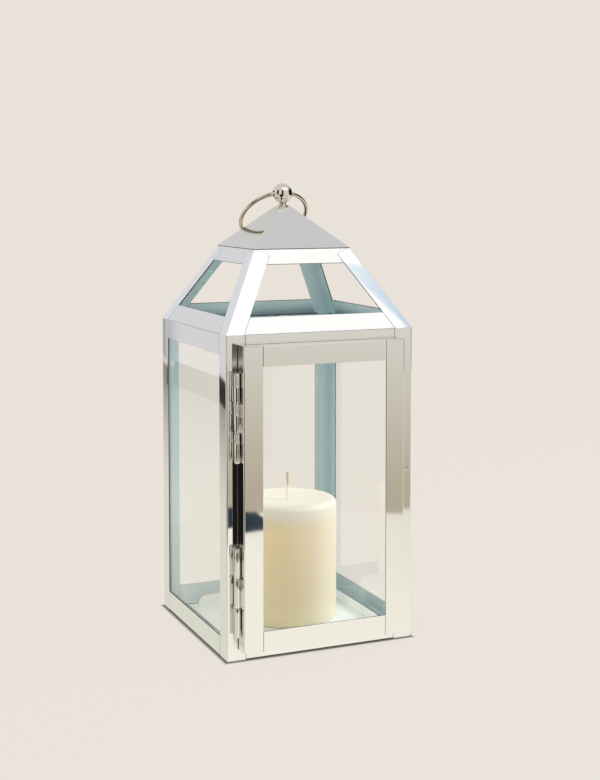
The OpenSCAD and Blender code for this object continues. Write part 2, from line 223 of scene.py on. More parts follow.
# ---- Roof bands ----
# Two sloped strips a side, soldered between the hip strips, leave an open window between
# them where the hot air leaves. Only their outsides are polished.
band_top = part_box("roof_band_low_front")[1].z
high_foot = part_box("roof_band_up_front")[0].z
cap_lo, cap_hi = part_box("cap")
hip_lo, hip_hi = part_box("hip_front_left")
roof_h = hip_hi.z - hip_lo.z
roof_half = 0.0495                    # half side where the slope ends
run = half - roof_half
slope = math.hypot(run, roof_h)
hip_w = 0.0175                        # a hip strip's flange along the eave
hip_seam = 0.0003                     # the hair's gap from a band to a hip strip
notch_w, notch_h = 0.0024, 0.0012     # an upper band's narrow ends beside the hip strips


def on_roof(x, s):
    """A point on the roof's front face: x along the eave, s up the slope."""
    return Vector((x, -half + run * s / slope, body_h + roof_h * s / slope))


def edge_x(s):
    return half - run * s / slope


def upwards(c):
    return from_axis(c) + Vector((0, 0, 0.6))


def roof_band(name, right, quarter):
    """A band from its right end's outline, mirrored to the left."""
    ring = right + [(-a, s) for a, s in reversed(right)]
    panel = turned([on_roof(a, s) for a, s in ring], quarter)
    folded_sheet(name + "_sheet", [panel], name, out=upwards)


tilt = math.atan2(run, slope)
strip = hip_w * math.cos(tilt)
cut_s, cut_x = slope - strip * math.sin(tilt), edge_x(slope) - strip * math.cos(tilt)
low_s = (band_top - body_h) / roof_h * slope
high_s = (high_foot - body_h) / roof_h * slope
for quarter, where in ((0, "front"), (1, "right"), (2, "back"), (3, "left")):
    roof_band("roof_band_low_" + where,
              [(edge_x(s) - hip_w - hip_seam, s) for s in (0, low_s)], quarter)
    roof_band("roof_band_up_" + where,
              [(edge_x(high_s) - hip_w - hip_seam, high_s), (cut_x - hip_seam, cut_s - 0.0001),
               (edge_x(slope) - notch_w, slope - notch_h), (edge_x(slope) - notch_w, slope)], quarter)

# ---- Hip strips ----
# Four angle strips folded along the hips, cut level at the eave and square across at the
# top. They are the roof's rafters and stand a hair proud of the bands.
hip_polish = polished_steel("hip_polish", (0.88, 0.90, 0.93), 0.03, 0.06)
for quarter, where in ((0, "front_left"), (1, "front_right"), (2, "back_right"), (3, "back_left")):
    front = [on_roof(-edge_x(0), 0), on_roof(-edge_x(0) + hip_w, 0), on_roof(-cut_x, cut_s),
             on_roof(-edge_x(slope), slope)]
    side = [Vector((p.y, p.x, p.z)) for p in front]
    folded_sheet("hip_" + where + "_sheet", [turned(front, quarter), turned(side, quarter)],
                 "hip_" + where, out=upwards, skins=(hip_polish, inside), fold=0.0006)

# ---- Cap ----
# A low pyramid of folded sheet with a small flat, drilled top, dropped over the hip strips
# and the upper bands with a narrow overhang.
cap_half, cap_flat = cap_hi.x, 0.005
cap_polish = polished_steel("cap_polish", (0.84, 0.84, 0.84), 0.045, 0.08)
hem, crown = [[(-a, -a, z), (a, -a, z), (a, a, z), (-a, a, z)]
              for a, z in ((cap_half, cap_lo.z), (cap_flat, cap_hi.z))]
slopes = [[hem[i], hem[(i + 1) % 4], crown[(i + 1) % 4], crown[i]] for i in range(4)]
folded_sheet("cap_sheet", slopes + [crown], "cap", out=lambda c: Vector((c.x, c.y, 0.05)),
             skins=(cap_polish, inside), fold=0.0009)

# ---- Finial ----
# A turned, polished ball on a short collared neck, screwed down through the cap. The ring's
# eye runs through it from side to side.
stud_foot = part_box("finial")[0].z
ball_r, ball_z, eye_r = 0.010, 0.4303, 0.0031
neck_r, collar_r, stud_r = 0.0034, 0.0043, 0.0020
finial_polish = polished_steel("finial_polish", (0.80, 0.77, 0.72), 0.02, 0.0)


def lathe(bm, profile, centre, axis, steps):
    """Spins a closed or pole-to-pole profile once round an axis."""
    verts = [bm.verts.new(p) for p in profile]
    edges = [bm.edges.new((a, b)) for a, b in zip(verts, verts[1:])]
    bmesh.ops.spin(bm, geom=verts + edges, cent=centre, axis=axis, angle=2 * math.pi, steps=steps,
                   use_merge=True)
    bmesh.ops.remove_doubles(bm, verts=bm.verts, dist=1e-6)
    bmesh.ops.dissolve_degenerate(bm, edges=bm.edges, dist=1e-7)
    bmesh.ops.recalc_face_normals(bm, faces=bm.faces)


def smooth_piece(bm, name, materials, body, nodes):
    for f in bm.faces:
        f.smooth = True
    mesh = bpy.data.meshes.new(name)
    bm.to_mesh(mesh)
    bm.free()
    for m in materials:
        mesh.materials.append(m)
    piece = bpy.data.objects.new(name, mesh)
    bpy.context.collection.objects.link(piece)
    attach(piece, body)
    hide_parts(*nodes)
    return piece


bm = bmesh.new()
rim_a = math.asin(eye_r / ball_r)
arc = [rim_a + (math.pi - 2 * rim_a) * i / 48 for i in range(49)]
ball = [(ball_r * math.cos(a), 0, ball_z + ball_r * math.sin(a)) for a in arc]
reach = ball_r * math.cos(rim_a)
ball += [(x, 0, ball_z + eye_r - 0.0001) for x in (-reach + 0.0004, reach - 0.0004)] + [ball[0]]
lathe(bm, ball, (0, 0, ball_z), (1, 0, 0), 96)
neck = bmesh.new()
base = cap_hi.z
neck_top = ball_z - ball_r + 0.0004
outline = [(0, neck_top), (neck_r, neck_top), (neck_r, base + 0.0019), (0.0036, base + 0.0015),
           (0.0040, base + 0.0014), (collar_r, base + 0.0011), (collar_r, base + 0.0003),
           (0.0041, base), (stud_r, base), (stud_r, stud_foot + 0.0003), (0.0017, stud_foot),
           (0, stud_foot)]
lathe(neck, [(x, 0, z) for x, z in outline], (0, 0, 0), (0, 0, 1), 64)
neck_mesh = bpy.data.meshes.new("neck")
neck.to_mesh(neck_mesh)
neck.free()
bm.from_mesh(neck_mesh)
bpy.data.meshes.remove(neck_mesh)
finial = smooth_piece(bm, "finial_turned", [finial_polish], "frame", ["finial"])
crisp = finial.modifiers.new("crisp", "EDGE_SPLIT")
crisp.split_angle = math.radians(38)

# ---- Pull ring ----
# Round 4 mm wire bent to a 72 mm ring and butt-welded through the ball's eye; it lies back
# on the cap and swings over to the front.
far_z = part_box("pull_ring")[0].z      # its lowest point, where it lies on the cap
ring_r, wire_r = 0.034, 0.002
# The ring's polish is tinted dark tan: painted shade for the dark reflections its wire shows.
ring_polish_painted_dark = polished_steel("ring_polish_painted_dark", (0.68, 0.61, 0.53), 0.03, 0.0)
sag = ring_r - math.sqrt(ring_r ** 2 - ball_r ** 2)
off = ring_r - sag / 2
lean = math.asin((ball_z - far_z - wire_r) / (off + ring_r))
bm = bmesh.new()
section = bmesh.ops.create_circle(bm, segments=28, radius=wire_r)["verts"]
bmesh.ops.rotate(bm, verts=section, matrix=Matrix.Rotation(math.pi / 2, 3, "X"))
bmesh.ops.translate(bm, verts=section, vec=(ring_r, 0, 0))
bmesh.ops.spin(bm, geom=bm.verts[:] + bm.edges[:], cent=(0, 0, 0), axis=(0, 0, 1),
               angle=2 * math.pi, steps=160, use_merge=True)
bmesh.ops.remove_doubles(bm, verts=bm.verts, dist=1e-6)
bmesh.ops.transform(bm, verts=bm.verts, matrix=Matrix.Translation((0, 0, ball_z))
                    @ Matrix.Rotation(-lean, 4, "X") @ Matrix.Translation((0, off, 0)))
bmesh.ops.recalc_face_normals(bm, faces=bm.faces)
smooth_piece(bm, "pull_ring_wire", [ring_polish_painted_dark], "ring", ["pull_ring"])

# ---- Base plate ----
# Pale zinc-grey sheet with three round-cornered flaps cut and turned up along its sides.
# The candle stands on it, and its underside is what the lantern rests on.
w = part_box("base_plate")[1].x
plate_t, flap_in, flap_half, flap_h, corner_r = 0.001, 0.014, 0.061, 0.010, 0.009
plate_skin = dull_steel("base_plate_zinc", (0.84, 0.93, 0.97))
floor_face = [(-w, -w, plate_t), (w, -w, plate_t), (w, w, plate_t), (-w, w, plate_t)]
panels = [floor_face]
for quarter in (0, 1, 3):
    y = half - flap_in
    round_end = [(flap_half - corner_r + corner_r * math.cos(a), plate_t + flap_h * math.sin(a))
                 for a in [math.pi / 2 * i / 8 for i in range(9)]]
    flap = [(x, y, z) for x, z in round_end] + [(-x, y, z) for x, z in reversed(round_end)]
    panels.append(turned(flap, quarter))
folded_sheet("base_plate_sheet", panels, "base_plate", skins=(plate_skin, plate_skin),
             out=lambda c: Vector((c.x, c.y, 0)) if c.z > 0.002 else Vector((0, 0, 1)),
             thick=plate_t, edge=0.0002)

# ---- Glass ----
# Three fixed panes of 2 mm clear glass stand on the bottom lips, behind the posts; the
# fourth is in the door. Cut glass is faintly green and its edges are darker.
pane_glass = bpy.data.materials.new("pane_glass")
pane_glass.use_nodes = True
n, l = pane_glass.node_tree.nodes, pane_glass.node_tree.links
b = n["Principled BSDF"]
b.inputs["Transmission Weight"].default_value = 1.0
b.inputs["IOR"].default_value = 1.46
at = n.new("ShaderNodeTexCoord")
smear = n.new("ShaderNodeTexNoise")
smear.inputs["Scale"].default_value = 14.0
smear.inputs["Detail"].default_value = 6.0
l.new(at.outputs["Object"], smear.inputs["Vector"])
film = n.new("ShaderNodeMapRange")
film.inputs["From Min"].default_value = 0.45
film.inputs["From Max"].default_value = 0.8
film.inputs["To Min"].default_value = 0.0
film.inputs["To Max"].default_value = 0.004
l.new(smear.outputs["Fac"], film.inputs["Value"])
l.new(film.outputs["Result"], b.inputs["Roughness"])
tint = n.new("ShaderNodeMix")
tint.data_type = "RGBA"
tint.inputs["A"].default_value = (0.992, 0.996, 0.994, 1)
tint.inputs["B"].default_value = (0.984, 0.990, 0.988, 1)
l.new(smear.outputs["Fac"], tint.inputs["Factor"])
l.new(tint.outputs["Result"], b.inputs["Base Color"])


def dress(node, material):
    """Gives a CAD node that is already right its finish."""
    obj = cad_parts[node]
    obj = bpy.data.objects[obj] if isinstance(obj, str) else obj
    for s in obj.material_slots:
        s.material = material


def block(bm, lo, hi):
    """Adds a box between two corners."""
    verts = bmesh.ops.create_cube(bm, size=1)["verts"]
    bmesh.ops.scale(bm, verts=verts, vec=hi - lo)
    bmesh.ops.translate(bm, verts=verts, vec=(lo + hi) / 2)


for name, body in (("pane_back", "frame"), ("pane_left", "frame"), ("pane_right", "frame"),
                   ("door_glass", "door")):
    bm = bmesh.new()
    block(bm, *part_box(name))
    round_edges(bm, bm.edges[:], 0.0003, 2)
    mesh = bpy.data.meshes.new(name + "_cut")
    bm.to_mesh(mesh)
    bm.free()
    mesh.materials.append(pane_glass)
    pane = bpy.data.objects.new(name + "_cut", mesh)
    bpy.context.collection.objects.link(pane)
    pane.visible_shadow = pane.visible_diffuse = False
    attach(pane, body)
    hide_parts(name)

# ---- Pane clips ----
# Short tabs of dull sheet bent down from the top lips keep each pane against its rail.
clip_skin = dull_steel("clip_sheet", (0.86, 0.90, 0.92))
for name in ("pane_clips_back", "pane_clips_left", "pane_clips_right", "finial_nut",
             "catch_bracket"):
    dress(name, clip_skin)

# ---- Door ----
# Two full-height stiles with two rails butted between them, all one fold deep, hold a pane
# flat behind the face. It stands proud of the cage and covers the front opening.
stile_lo, stile_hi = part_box("door_stile_left")
sill_lo, sill_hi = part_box("door_rail_bottom")
lint_lo, lint_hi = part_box("door_rail_top")
door_polish = polished_steel("door_polish", (0.84, 0.83, 0.81), 0.03, 0.16)
skins = (door_polish, inside)
f_y, b_y = stile_lo.y, stile_hi.y
z0, z1 = stile_lo.z, stile_hi.z
xl, xr = stile_lo.x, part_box("door_stile_right")[1].x
fw = stile_hi.x - stile_lo.x
for name, x, side in (("door_stile_left", xl, 1), ("door_stile_right", xr, -1)):
    inner = x + side * fw
    folded_sheet(name + "_sheet",
                 [[(x, f_y, z0), (inner, f_y, z0), (inner, f_y, z1), (x, f_y, z1)],
                  [(x, f_y, z0), (x, f_y, z1), (x, b_y, z1), (x, b_y, z0)]],
                 name, "door", out=lambda c, s=side: Vector((-s, -1, 0)), skins=skins, fold=0.0013)
a, c = xl + fw + rail_seam, xr - fw - rail_seam
wide_a, wide_c = xl + sheet_t, xr - sheet_t
tab_y = f_y + sheet_t                 # the rails' lips run on behind the stiles
for name, za, zb, sign in (("door_rail_top", lint_lo.z, lint_hi.z, 1),
                           ("door_rail_bottom", sill_hi.z, sill_lo.z, -1)):

    def off_rail(p):
        return Vector((0, -1, 3 * sign)) if abs(p.z - zb) < 1e-4 else Vector((0, -1, 0))

    folded_sheet(name + "_sheet",
                 [[(a, f_y, za), (c, f_y, za), (c, f_y, zb), (a, f_y, zb)],
                  [(a, f_y, zb), (c, f_y, zb), (c, b_y, zb), (a, b_y, zb)],
                  [(wide_a, tab_y, zb), (a, tab_y, zb), (a, b_y, zb), (wide_a, b_y, zb)],
                  [(c, tab_y, zb), (wide_c, tab_y, zb), (wide_c, b_y, zb), (c, b_y, zb)]],
                 name, "door", out=off_rail, skins=skins, fold=0.0008)

retainer_skin = dull_steel("retainer_sheet", (0.24, 0.27, 0.27))
for name in ("door_retainer_left", "door_retainer_right", "door_strike"):
    dress(name, retainer_skin)

# ---- Hinges ----
# Two knuckled butt hinges of polished steel: one leaf lies on the post behind the door, the
# other is welded to the door's side, and a headed pin runs through three long knuckles.
hinge_polish = polished_steel("hinge_polish", (0.80, 0.79, 0.77), 0.02, 0.05)
pin_polish = polished_steel("pin_polish", (0.60, 0.59, 0.57), 0.12, 0.0)
knuckle_r, kn_gap, leaf_t, web_w = 0.00275, 0.0003, 0.0008, 0.0016
leaf_front, leaf_back = f_y + 0.002, b_y - 0.001
shank_r, head_r, head_h = 0.0012, 0.00225, 0.001
for which in ("up", "low"):
    pin_lo, pin_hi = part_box("hinge_" + which + "_pin")
    leaf_lo, leaf_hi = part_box("hinge_" + which + "_frame_leaf")
    wing_lo, wing_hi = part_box("hinge_" + which + "_door_leaf")
    cx, cy = (pin_lo.x + pin_hi.x) / 2, (pin_lo.y + pin_hi.y) / 2
    pitch = (leaf_hi.z - leaf_lo.z) / 3
    tall = pitch - kn_gap
    for first, body, node, plate in (
            (0, "frame", "hinge_" + which + "_frame_leaf",
             ((cx - web_w / 2, -half - leaf_t, leaf_lo.z), (leaf_hi.x, -half, leaf_hi.z))),
            (1, "door", "hinge_" + which + "_door_leaf",
             ((xl - leaf_t, leaf_front, wing_lo.z), (xl, leaf_back, wing_hi.z)))):
        bm = bmesh.new()
        block(bm, Vector(plate[0]), Vector(plate[1]))
        round_edges(bm, bm.edges[:], 0.00015, 2)
        for i in range(first, 3, 2):
            k0 = leaf_lo.z + i * pitch + kn_gap / 2
            barrel = bmesh.ops.create_cone(bm, cap_ends=True, segments=48, radius1=knuckle_r,
                                           radius2=knuckle_r, depth=tall)["verts"]
            bmesh.ops.translate(bm, verts=barrel, vec=(cx, cy, k0 + tall / 2))
            ends = {e for v in barrel for e in v.link_edges
                    if abs(e.verts[0].co.z - e.verts[1].co.z) < 1e-6}
            round_edges(bm, list(ends), 0.0003, 3)
            if first:
                block(bm, Vector((cx, cy - web_w / 2, k0)), Vector((xl, cy + web_w / 2, k0 + tall)))
            else:
                block(bm, Vector((cx - web_w / 2, cy, k0)),
                      Vector((cx + web_w / 2, -half - leaf_t / 2, k0 + tall)))
        piece = smooth_piece(bm, node + "_formed", [hinge_polish], body, [node])
        crisp = piece.modifiers.new("crisp", "EDGE_SPLIT")
        crisp.split_angle = math.radians(35)
    bm = bmesh.new()
    in_head = pin_hi.z - head_h / 2
    shank = bmesh.ops.create_cone(bm, cap_ends=True, segments=32, radius1=shank_r, radius2=shank_r,
                                  depth=in_head - pin_lo.z)["verts"]
    bmesh.ops.translate(bm, verts=shank, vec=(cx, cy, (pin_lo.z + in_head) / 2))
    head = bmesh.ops.create_cone(bm, cap_ends=True, segments=32, radius1=head_r, radius2=head_r,
                                 depth=head_h)["verts"]
    bmesh.ops.translate(bm, verts=head, vec=(cx, cy, in_head))
    rim = {e for v in head for e in v.link_edges
           if min(end.co.z for end in e.verts) > pin_hi.z - 0.0002}
    round_edges(bm, list(rim), 0.0004, 3)
    smooth_piece(bm, "hinge_" + which + "_pin_turned", [pin_polish], "frame",
                 ["hinge_" + which + "_pin"])

# ---- Catch ----
# A small magnet on a bracket behind the right post draws the door's steel strike plate; the
# rivet that holds the bracket shows as a round head on the post.
magnet_skin = bpy.data.materials.new("catch_magnet_black")
magnet_skin.use_nodes = True
n, l = magnet_skin.node_tree.nodes, magnet_skin.node_tree.links
b = n["Principled BSDF"]
at = n.new("ShaderNodeTexCoord")
fleck = n.new("ShaderNodeTexNoise")
fleck.inputs["Scale"].default_value = 900.0
l.new(at.outputs["Object"], fleck.inputs["Vector"])
tone = n.new("ShaderNodeMix")
tone.data_type = "RGBA"
tone.inputs["A"].default_value = (0.012, 0.012, 0.014, 1)
tone.inputs["B"].default_value = (0.035, 0.035, 0.038, 1)
l.new(fleck.outputs["Fac"], tone.inputs["Factor"])
l.new(tone.outputs["Result"], b.inputs["Base Color"])
b.inputs["Roughness"].default_value = 0.55
dress("catch_magnet", magnet_skin)
rivet_lo, rivet_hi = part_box("catch_rivet")
rx, rz = (rivet_lo.x + rivet_hi.x) / 2, (rivet_lo.z + rivet_hi.z) / 2
rivet_r, stem_r, stem_l = 0.0024, 0.0015, 0.003
bm = bmesh.new()
head = bmesh.ops.create_uvsphere(bm, u_segments=32, v_segments=16, radius=rivet_r)["verts"]
bmesh.ops.scale(bm, verts=head, vec=(1, 1, 0.4))
bmesh.ops.rotate(bm, verts=head, matrix=Matrix.Rotation(math.pi / 2, 3, "X"))
bmesh.ops.translate(bm, verts=head, vec=(rx, -half, rz))
stem = bmesh.ops.create_cone(bm, cap_ends=True, segments=24, radius1=stem_r, radius2=stem_r,
                             depth=stem_l)["verts"]
bmesh.ops.rotate(bm, verts=stem, matrix=Matrix.Rotation(math.pi / 2, 3, "X"))
bmesh.ops.translate(bm, verts=stem, vec=(rx, -half + stem_l / 2, rz))
smooth_piece(bm, "catch_rivet_head", [pin_polish], "frame", ["catch_rivet"])

# ---- Candle ----
# A cast pillar of ivory wax, 100 mm across, with a rounded shoulder and a shallow dished top
# whose rim catches the light; light soaks a few millimetres into it.
wax = bpy.data.materials.new("pillar_wax")
wax.use_nodes = True
n, l = wax.node_tree.nodes, wax.node_tree.links
b = n["Principled BSDF"]
b.inputs["Subsurface Weight"].default_value = 0.55
b.inputs["Subsurface Radius"].default_value = (1.0, 0.55, 0.25)
b.inputs["Subsurface Scale"].default_value = 0.012
b.inputs["Coat Weight"].default_value = 0.06
b.inputs["Coat Roughness"].default_value = 0.3
at = n.new("ShaderNodeTexCoord")
mottle = n.new("ShaderNodeTexNoise")
mottle.inputs["Scale"].default_value = 26.0
mottle.inputs["Detail"].default_value = 5.0
l.new(at.outputs["Object"], mottle.inputs["Vector"])
# Wax colour runs from deep orange on the left to pale cream on the right: painted shade on the left
# side, painted light on the right.
tone = n.new("ShaderNodeMix")
tone.data_type = "RGBA"
tone.inputs["A"].default_value = (1.0, 0.80, 0.49, 1)
tone.inputs["B"].default_value = (0.84, 0.78, 0.64, 1)
wax_lo, wax_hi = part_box("candle")
wax_x, wax_y = (wax_lo.x + wax_hi.x) / 2, (wax_lo.y + wax_hi.y) / 2
parts = n.new("ShaderNodeSeparateXYZ")
l.new(at.outputs["Object"], parts.inputs["Vector"])
across = n.new("ShaderNodeMapRange")
across.interpolation_type = "SMOOTHSTEP"
across.inputs["From Min"].default_value = wax_x - 0.030
across.inputs["From Max"].default_value = wax_x + 0.035
l.new(parts.outputs["X"], across.inputs["Value"])
l.new(across.outputs["Result"], tone.inputs["Factor"])
# The top 26 mm blend to a paler cream: a painted highlight where the top takes more light.
painted_top_light = n.new("ShaderNodeMapRange")
painted_top_light.interpolation_type = "SMOOTHSTEP"
painted_top_light.inputs["From Min"].default_value = wax_hi.z - 0.026
painted_top_light.inputs["From Max"].default_value = wax_hi.z - 0.004
l.new(parts.outputs["Z"], painted_top_light.inputs["Value"])
painted_top_lift = n.new("ShaderNodeMix")
painted_top_lift.data_type = "RGBA"
painted_top_lift.inputs["B"].default_value = (0.87, 0.86, 0.78, 1)
l.new(painted_top_light.outputs["Result"], painted_top_lift.inputs["Factor"])
l.new(tone.outputs["Result"], painted_top_lift.inputs["A"])
speck = n.new("ShaderNodeMix")
speck.data_type = "RGBA"
speck.blend_type = "MULTIPLY"
speck.inputs["B"].default_value = (0.96, 0.94, 0.90, 1)
l.new(mottle.outputs["Fac"], speck.inputs["Factor"])
l.new(painted_top_lift.outputs["Result"], speck.inputs["A"])
l.new(speck.outputs["Result"], b.inputs["Base Color"])
bloom = n.new("ShaderNodeMapRange")
bloom.inputs["To Min"].default_value = 0.42
bloom.inputs["To Max"].default_value = 0.6
l.new(mottle.outputs["Fac"], bloom.inputs["Value"])
l.new(bloom.outputs["Result"], b.inputs["Roughness"])
pits = n.new("ShaderNodeTexNoise")
pits.inputs["Scale"].default_value = 420.0
pits.inputs["Detail"].default_value = 3.0
l.new(at.outputs["Object"], pits.inputs["Vector"])
bump = n.new("ShaderNodeBump")
bump.inputs["Strength"].default_value = 0.12
bump.inputs["Distance"].default_value = 0.0004
l.new(pits.outputs["Fac"], bump.inputs["Height"])
l.new(bump.outputs["Normal"], b.inputs["Normal"])
r, top, foot, shoulder, dish = (wax_hi.x - wax_lo.x) / 2, wax_hi.z, wax_lo.z, 0.005, 0.002
profile = [(0, foot), (r - 0.0015, foot), (r - 0.0004, foot + 0.0004), (r, foot + 0.0015)]
profile += [(r, foot + 0.0015 + (top - shoulder - foot - 0.0015) * i / 10) for i in range(1, 11)]
profile += [(r - shoulder + shoulder * math.cos(a), top - shoulder + shoulder * math.sin(a))
            for a in [math.pi / 2 * i / 10 for i in range(1, 11)]]
flat_r = r - shoulder - 0.003
profile += [(r - shoulder - 0.0015, top)]
profile += [(flat_r * (1 - i / 12), top - dish * (1 - (1 - i / 12) ** 2)) for i in range(0, 13)]
bm = bmesh.new()
lathe(bm, [(wax_x + x, wax_y, z) for x, z in profile], (wax_x, wax_y, 0), (0, 0, 1), 128)
smooth_piece(bm, "candle_pillar", [wax], "candle", ["candle"])

# ---- Wick ----
# Plaited cotton dipped in wax, 2 mm thick and leaning a little; new, so it isn't charred.
cotton = bpy.data.materials.new("wick_cotton")
cotton.use_nodes = True
n, l = cotton.node_tree.nodes, cotton.node_tree.links
b = n["Principled BSDF"]
b.inputs["Roughness"].default_value = 0.7
b.inputs["Sheen Weight"].default_value = 0.3
at = n.new("ShaderNodeTexCoord")
plait = n.new("ShaderNodeTexWave")
plait.wave_type = "BANDS"
plait.bands_direction = "DIAGONAL"
plait.inputs["Scale"].default_value = 420.0
plait.inputs["Distortion"].default_value = 1.0
l.new(at.outputs["Object"], plait.inputs["Vector"])
tone = n.new("ShaderNodeMix")
tone.data_type = "RGBA"
tone.inputs["A"].default_value = (0.55, 0.36, 0.15, 1)
tone.inputs["B"].default_value = (0.82, 0.62, 0.34, 1)
l.new(plait.outputs["Fac"], tone.inputs["Factor"])
wick_lo, wick_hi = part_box("wick")
parts = n.new("ShaderNodeSeparateXYZ")
l.new(at.outputs["Object"], parts.inputs["Vector"])
dipped = n.new("ShaderNodeMapRange")
dipped.inputs["From Min"].default_value = wick_lo.z + 0.013
dipped.inputs["From Max"].default_value = wick_lo.z + 0.016
l.new(parts.outputs["Z"], dipped.inputs["Value"])
# The wax-coated foot is near white, paler than the candle's top: a real wax coat, painted brighter to
# cancel its own shade.
wax_coat_painted_bright = n.new("ShaderNodeMix")
wax_coat_painted_bright.data_type = "RGBA"
wax_coat_painted_bright.inputs["A"].default_value = (1.0, 0.98, 0.90, 1)
l.new(dipped.outputs["Result"], wax_coat_painted_bright.inputs["Factor"])
l.new(tone.outputs["Result"], wax_coat_painted_bright.inputs["B"])
l.new(wax_coat_painted_bright.outputs["Result"], b.inputs["Base Color"])
bump = n.new("ShaderNodeBump")
bump.inputs["Strength"].default_value = 0.6
bump.inputs["Distance"].default_value = 0.0003
l.new(plait.outputs["Fac"], bump.inputs["Height"])
l.new(bump.outputs["Normal"], b.inputs["Normal"])
bm = bmesh.new()
wick_r, rises, sway = 0.0011, 14, 0.00002
rise = (wick_hi.z - wick_lo.z) / rises
loop = bmesh.ops.create_circle(bm, cap_ends=True, segments=20, radius=wick_r)["verts"]
bmesh.ops.translate(bm, verts=loop, vec=(wax_x, wax_y, wick_lo.z))
face = [f for f in bm.faces][0]
for i in range(rises):
    ext = bmesh.ops.extrude_face_region(bm, geom=[face])["geom"]
    verts = [g for g in ext if isinstance(g, bmesh.types.BMVert)]
    face = [g for g in ext if isinstance(g, bmesh.types.BMFace)][0]
    bmesh.ops.translate(bm, verts=verts, vec=(sway * i * (1 if i < 9 else -0.6), 0, rise))
bmesh.ops.recalc_face_normals(bm, faces=bm.faces)
smooth_piece(bm, "wick_plait", [cotton], "candle", ["wick"])

# ---- Studio ----
# A seamless pale sweep all round, like a light tent, with two soft lights, and cards and
# cloths that only mirrors see.
pale = (0.823, 0.768, 0.694)


def card(name, corners, near, far=None, axis="X", span=(0, 1)):
    """A glowing card that only mirrors see; its colour can run from near to far along one axis."""
    m = bpy.data.materials.new(name)
    m.use_nodes = True
    n, l = m.node_tree.nodes, m.node_tree.links
    n.clear()
    at = n.new("ShaderNodeTexCoord")
    parts = n.new("ShaderNodeSeparateXYZ")
    l.new(at.outputs["Object"], parts.inputs["Vector"])
    along = n.new("ShaderNodeMapRange")
    along.inputs["From Min"].default_value, along.inputs["From Max"].default_value = span
    l.new(parts.outputs[axis], along.inputs["Value"])
    mix = n.new("ShaderNodeMix")
    mix.data_type = "RGBA"
    mix.inputs["A"].default_value = (*near, 1)
    mix.inputs["B"].default_value = (*(far or near), 1)
    l.new(along.outputs["Result"], mix.inputs["Factor"])
    glow = n.new("ShaderNodeEmission")
    l.new(mix.outputs["Result"], glow.inputs["Color"])
    end = n.new("ShaderNodeOutputMaterial")
    l.new(glow.outputs[0], end.inputs["Surface"])
    bm = bmesh.new()
    bm.faces.new([bm.verts.new(c) for c in corners])
    mesh = bpy.data.meshes.new(name)
    bm.to_mesh(mesh)
    bm.free()
    mesh.materials.append(m)
    o = bpy.data.objects.new(name, mesh)
    bpy.context.collection.objects.link(o)
    o.visible_camera = o.visible_diffuse = o.visible_transmission = o.visible_shadow = False


sweep = bpy.data.materials.new("sweep_paper")
sweep.use_nodes = True
n, l = sweep.node_tree.nodes, sweep.node_tree.links
b = n["Principled BSDF"]
b.inputs["Base Color"].default_value = (0.035, 0.035, 0.035, 1)
b.inputs["Roughness"].default_value = 1.0
b.inputs["Specular IOR Level"].default_value = 0.0
b.inputs["Emission Color"].default_value = (*pale, 1)
at = n.new("ShaderNodeTexCoord")
parts = n.new("ShaderNodeSeparateXYZ")
l.new(at.outputs["Object"], parts.inputs["Vector"])
out_x, out_y, off = n.new("ShaderNodeMath"), n.new("ShaderNodeMath"), n.new("ShaderNodeMath")
out_x.operation = out_y.operation = "ABSOLUTE"
off.operation = "MAXIMUM"
l.new(parts.outputs["X"], out_x.inputs[0])
l.new(parts.outputs["Y"], out_y.inputs[0])
l.new(out_x.outputs[0], off.inputs[0])
l.new(out_y.outputs[0], off.inputs[1])
# The floor's glow dims within 4.5 mm of the lantern's footprint: a painted contact shadow.
painted_contact_shadow = n.new("ShaderNodeMapRange")
painted_contact_shadow.interpolation_type = "SMOOTHSTEP"
painted_contact_shadow.inputs["From Min"].default_value = half
painted_contact_shadow.inputs["From Max"].default_value = half + 0.0045
painted_contact_shadow.inputs["To Min"].default_value = 0.16
painted_contact_shadow.inputs["To Max"].default_value = 0.95
l.new(off.outputs[0], painted_contact_shadow.inputs["Value"])
l.new(painted_contact_shadow.outputs["Result"], b.inputs["Emission Strength"])
bm = bmesh.new()
tent_r, bend = 3.2, 0.9
profile = [(0, 0, 0)] + [(tent_r - bend + bend * math.sin(a), 0, bend - bend * math.cos(a))
                         for a in [math.pi / 2 * i / 16 for i in range(17)]]
profile += [(tent_r * math.cos(a), 0, bend + tent_r * math.sin(a))
            for a in [math.pi / 2 * i / 16 for i in range(1, 16)]]
profile += [(0, 0, bend + tent_r)]
verts = [bm.verts.new(p) for p in profile]
edges = [bm.edges.new(p) for p in zip(verts, verts[1:])]
bmesh.ops.spin(bm, geom=verts + edges, cent=(0, 0, 0), axis=(0, 0, 1), angle=2 * math.pi,
               steps=96, use_merge=True)
bmesh.ops.remove_doubles(bm, verts=bm.verts, dist=1e-5)
bmesh.ops.recalc_face_normals(bm, faces=bm.faces)
bmesh.ops.reverse_faces(bm, faces=bm.faces)
for f in bm.faces:
    f.smooth = True
mesh = bpy.data.meshes.new("sweep")
bm.to_mesh(mesh)
bm.free()
mesh.materials.append(sweep)
tent = bpy.data.objects.new("sweep", mesh)
bpy.context.collection.objects.link(tent)

# soft box over the front: the white sheen on the roof's front slope
card("box_front_top",
     [(-0.35, -1.25, 1.25), (1.35, -1.25, 1.25), (1.35, -0.30, 1.55), (-0.35, -0.30, 1.55)],
     (1.2, 1.2, 1.2))
# grey card overhead for the cap's front
card("card_top", [(-0.4, -0.28, 1.9), (1.3, -0.28, 1.9), (1.3, 0.9, 1.9), (-0.4, 0.9, 1.9)],
     (0.69, 0.69, 0.705), (0.69, 0.69, 0.70))
# lavender card far behind: left slopes of the roof and cap
card("card_back", [(-1.7, 1.9, 0.35), (1.2, 1.9, 0.35), (1.2, 1.9, 1.8), (-1.7, 1.9, 1.8)],
     (0.77, 0.77, 0.80), (0.64, 0.635, 0.60), "X", (-0.30, 0.10))
